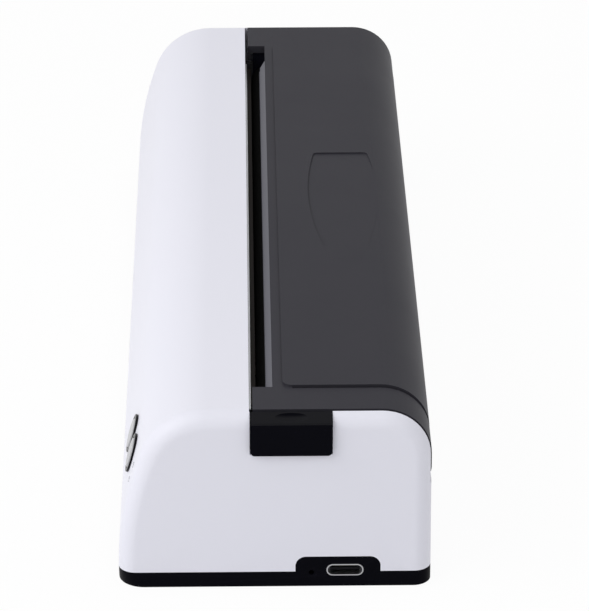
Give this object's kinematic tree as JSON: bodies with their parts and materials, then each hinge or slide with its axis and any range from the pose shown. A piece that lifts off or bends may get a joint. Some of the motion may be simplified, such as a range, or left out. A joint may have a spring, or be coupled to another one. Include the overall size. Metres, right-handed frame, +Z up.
{
  "type": "portable label printer",
  "caption": "Long slim thermal printer with a rounded white body, a black rear-hinged lid over a roll bay, a paper slot, a release tab and round front buttons.",
  "frame": {"origin": "on the surface it stands on, midway between the ends, near mid depth", "axes": "+X along the body to the end with the port and release tab, -Y to the front with the buttons, +Z up"},
  "size_m": [0.252, 0.0757, 0.0475],
  "materials": {
    "white_case": "satin",
    "black_case": "satin",
    "lid_black": "satin",
    "tab_black": "satin",
    "bay_black": "matte",
    "tear_grey": "satin",
    "foot_rubber": "matte",
    "steel": "brushed",
    "spring_steel": "satin",
    "grey_frame": "satin",
    "motor_can": "satin",
    "black_gloss": "gloss",
    "board_green": "satin",
    "light_clear": "gloss",
    "cell_wrap": "gloss",
    "ribbon_white": "satin",
    "bush_white": "satin",
    "platen_rubber": "matte",
    "gear_nylon": "satin",
    "brass": "satin",
    "aluminium": "satin",
    "ceramic": "gloss",
    "button_grey": "satin"
  },
  "bodies": {
    "housing": {"main_housing": "white_case", "base_tray": "black_case", "rubber_feet": "foot_rubber", "base_screws": "steel", "hinge_pins": "steel", "print_chassis": "grey_frame", "gear_pins": "steel", "feed_motor": "motor_can", "head_springs": "spring_steel", "latch_springs": "spring_steel", "release_guide": "grey_frame", "release_spring": "spring_steel", "button_rings": "black_gloss", "button_board": "board_green", "tact_switches": "black_gloss", "light_pipes": "light_clear", "paper_bay": "bay_black", "bay_ends": "bay_black", "paper_sensor": "black_gloss", "main_board": "board_green", "board_chips": "black_gloss", "port_shell": "steel", "port_blade": "black_gloss", "reset_switch": "black_gloss", "battery_cells": "cell_wrap", "battery_cradle": "bay_black", "head_ribbon": "ribbon_white"},
    "lid": {"lid_cover": "lid_black", "lid_inner_frame": "bay_black", "tear_bar": "tear_grey", "platen_bushes": "bush_white", "lid_screws": "steel"},
    "platen": {"platen_shaft": "steel", "platen_roller": "platen_rubber", "platen_gear": "gear_nylon"},
    "idler": {"idler_gear": "gear_nylon"},
    "transfer": {"transfer_gear": "gear_nylon"},
    "pinion": {"motor_pinion": "brass", "motor_shaft": "steel"},
    "head": {"head_heat_sink": "aluminium", "print_head": "ceramic", "head_pins": "steel"},
    "release": {"release_tab": "tab_black"},
    "power": {"power_button": "button_grey"},
    "feed": {"feed_button": "button_grey"},
    "reset": {"reset_plunger": "black_gloss"}
  },
  "joints": [
    {"name": "lid_hinge", "type": "hinge", "parent": "housing", "child": "lid", "pos_m": [0, 0.0345, 0.031], "axis": [-1, 0, 0], "range_deg": [0, 95], "deforming": ["latch_springs"]},
    {"name": "platen_spin", "type": "hinge", "parent": "lid", "child": "platen", "pos_m": [0, 0.0008, 0.036], "axis": [1, 0, 0], "continuous": true},
    {"name": "idler_spin", "type": "hinge", "parent": "housing", "child": "idler", "pos_m": [0, -0.00133, 0.02166], "axis": [1, 0, 0], "continuous": true},
    {"name": "transfer_spin", "type": "hinge", "parent": "housing", "child": "transfer", "pos_m": [0, -0.0162, 0.01903], "axis": [1, 0, 0], "continuous": true},
    {"name": "motor_spin", "type": "hinge", "parent": "housing", "child": "pinion", "pos_m": [0, -0.02475, 0.01592], "axis": [1, 0, 0], "continuous": true},
    {"name": "head_pivot", "type": "hinge", "parent": "housing", "child": "head", "pos_m": [0, -0.007, 0.027], "axis": [1, 0, 0], "range_deg": [0, 3], "stiffness_Nm_per_rad": 1.5, "springref_deg": -5.73, "deforming": ["head_springs"]},
    {"name": "release_slide", "type": "slide", "parent": "housing", "child": "release", "axis": [0, 0, -1], "range_m": [0, 0.0025], "stiffness_N_per_m": 400, "springref_m": -0.001, "deforming": ["release_spring"]},
    {"name": "power_press", "type": "slide", "parent": "housing", "child": "power", "axis": [0, 0.9619, -0.2733], "range_m": [0, 0.0006], "stiffness_N_per_m": 900, "springref_m": -0.0003},
    {"name": "feed_press", "type": "slide", "parent": "housing", "child": "feed", "axis": [0, 0.9619, -0.2733], "range_m": [0, 0.0006], "stiffness_N_per_m": 900, "springref_m": -0.0003},
    {"name": "reset_press", "type": "slide", "parent": "housing", "child": "reset", "axis": [-1, 0, 0], "range_m": [0, 0.00025], "stiffness_N_per_m": 900, "springref_m": -0.0003}
  ],
  "couplings": [
    {"joint": "idler_spin", "follows": "platen_spin", "ratio": -0.6},
    {"joint": "transfer_spin", "follows": "platen_spin", "ratio": 0.9},
    {"joint": "motor_spin", "follows": "platen_spin", "ratio": -1.8}
  ]
}
